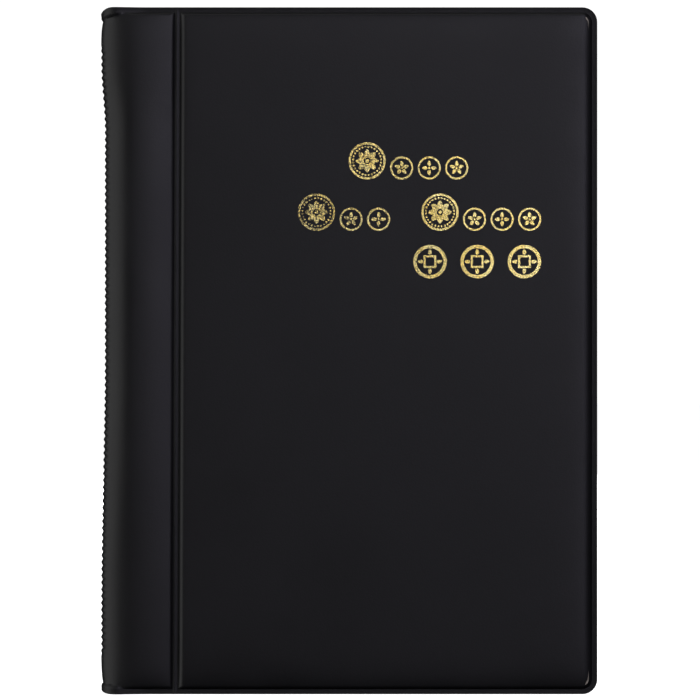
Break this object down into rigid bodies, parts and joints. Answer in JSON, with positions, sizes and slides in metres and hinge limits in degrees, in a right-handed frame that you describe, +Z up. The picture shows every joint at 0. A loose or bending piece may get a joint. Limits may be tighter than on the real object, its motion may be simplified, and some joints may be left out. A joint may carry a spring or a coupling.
{
  "type": "coin album",
  "caption": "Upright coin album with a padded welded cover, ribbed spine band, crease hinges and clear pages of welded pockets that fan out as the covers open.",
  "frame": {"origin": "centre of the closed album's footprint, on the surface it stands on", "axes": "+X from the spine to the fore-edge, +Y from the front cover to the back cover, +Z up the spine"},
  "size_m": [0.134, 0.0186, 0.185],
  "materials": {
    "cover_pvc": "soft black PVC sheet with a very fine grain and a dull sheen",
    "lining_pvc": "thin black PVC sheet, fine pebble grain",
    "foam": "open-cell polyurethane foam sheet",
    "board": "dense greyboard",
    "gold_foil": "hot-stamped gold foil, lightly speckled",
    "clear_film": "clear soft PVC film",
    "welded_seam": "frosted weld line in clear PVC",
    "spacer": "milky plastic strip"
  },
  "bodies": {
    "spine": {"spine_skin": "cover_pvc", "spine_foam": "foam", "spine_lining": "lining_pvc", "spacer_strips": "spacer", "page_margins": "clear_film"},
    "front_cover": {"front_skin": "cover_pvc", "front_foam": "foam", "front_board": "board", "front_lining": "lining_pvc", "front_foil": "gold_foil"},
    "back_cover": {"back_skin": "cover_pvc", "back_foam": "foam", "back_board": "board", "back_lining": "lining_pvc"},
    "page_01": {"page_01_backing": "clear_film", "page_01_pockets": "clear_film", "page_01_seams": "welded_seam"},
    "page_02": {"page_02_backing": "clear_film", "page_02_pockets": "clear_film", "page_02_seams": "welded_seam"},
    "page_03": {"page_03_backing": "clear_film", "page_03_pockets": "clear_film", "page_03_seams": "welded_seam"},
    "page_04": {"page_04_backing": "clear_film", "page_04_pockets": "clear_film", "page_04_seams": "welded_seam"},
    "page_05": {"page_05_backing": "clear_film", "page_05_pockets": "clear_film", "page_05_seams": "welded_seam"},
    "page_06": {"page_06_backing": "clear_film", "page_06_pockets": "clear_film", "page_06_seams": "welded_seam"},
    "page_07": {"page_07_backing": "clear_film", "page_07_pockets": "clear_film", "page_07_seams": "welded_seam"},
    "page_08": {"page_08_backing": "clear_film", "page_08_pockets": "clear_film", "page_08_seams": "welded_seam"},
    "page_09": {"page_09_backing": "clear_film", "page_09_pockets": "clear_film", "page_09_seams": "welded_seam"},
    "page_10": {"page_10_backing": "clear_film", "page_10_pockets": "clear_film", "page_10_seams": "welded_seam"}
  },
  "joints": [
    {"name": "front_cover_hinge", "type": "hinge", "parent": "spine", "child": "front_cover", "pos_m": [-0.0463, -0.0094, 0.0925], "axis": [0, 0, -1], "range_deg": [0, 170]},
    {"name": "back_cover_hinge", "type": "hinge", "parent": "spine", "child": "back_cover", "pos_m": [-0.0463, 0.0094, 0.0925], "axis": [0, 0, 1], "range_deg": [0, 170]},
    {"name": "page_01_hinge", "type": "hinge", "parent": "spine", "child": "page_01", "pos_m": [-0.0423, -0.00541, 0.0925], "axis": [0, 0, -1], "range_deg": [0, 76.5]},
    {"name": "page_02_hinge", "type": "hinge", "parent": "spine", "child": "page_02", "pos_m": [-0.0423, -0.00413, 0.0925], "axis": [0, 0, -1], "range_deg": [0, 59.5]},
    {"name": "page_03_hinge", "type": "hinge", "parent": "spine", "child": "page_03", "pos_m": [-0.0423, -0.00285, 0.0925], "axis": [0, 0, -1], "range_deg": [0, 42.5]},
    {"name": "page_04_hinge", "type": "hinge", "parent": "spine", "child": "page_04", "pos_m": [-0.0423, -0.00157, 0.0925], "axis": [0, 0, -1], "range_deg": [0, 25.5]},
    {"name": "page_05_hinge", "type": "hinge", "parent": "spine", "child": "page_05", "pos_m": [-0.0423, -0.00029, 0.0925], "axis": [0, 0, -1], "range_deg": [0, 8.5]},
    {"name": "page_06_hinge", "type": "hinge", "parent": "spine", "child": "page_06", "pos_m": [-0.0423, 0.00099, 0.0925], "axis": [0, 0, 1], "range_deg": [0, 8.5]},
    {"name": "page_07_hinge", "type": "hinge", "parent": "spine", "child": "page_07", "pos_m": [-0.0423, 0.00227, 0.0925], "axis": [0, 0, 1], "range_deg": [0, 25.5]},
    {"name": "page_08_hinge", "type": "hinge", "parent": "spine", "child": "page_08", "pos_m": [-0.0423, 0.00355, 0.0925], "axis": [0, 0, 1], "range_deg": [0, 42.5]},
    {"name": "page_09_hinge", "type": "hinge", "parent": "spine", "child": "page_09", "pos_m": [-0.0423, 0.00483, 0.0925], "axis": [0, 0, 1], "range_deg": [0, 59.5]},
    {"name": "page_10_hinge", "type": "hinge", "parent": "spine", "child": "page_10", "pos_m": [-0.0423, 0.00611, 0.0925], "axis": [0, 0, 1], "range_deg": [0, 76.5]}
  ],
  "couplings": [
    {"joint": "page_01_hinge", "follows": "front_cover_hinge", "ratio": 0.45},
    {"joint": "page_02_hinge", "follows": "front_cover_hinge", "ratio": 0.35},
    {"joint": "page_03_hinge", "follows": "front_cover_hinge", "ratio": 0.25},
    {"joint": "page_04_hinge", "follows": "front_cover_hinge", "ratio": 0.15},
    {"joint": "page_05_hinge", "follows": "front_cover_hinge", "ratio": 0.05},
    {"joint": "page_06_hinge", "follows": "back_cover_hinge", "ratio": 0.05},
    {"joint": "page_07_hinge", "follows": "back_cover_hinge", "ratio": 0.15},
    {"joint": "page_08_hinge", "follows": "back_cover_hinge", "ratio": 0.25},
    {"joint": "page_09_hinge", "follows": "back_cover_hinge", "ratio": 0.35},
    {"joint": "page_10_hinge", "follows": "back_cover_hinge", "ratio": 0.45}
  ]
}
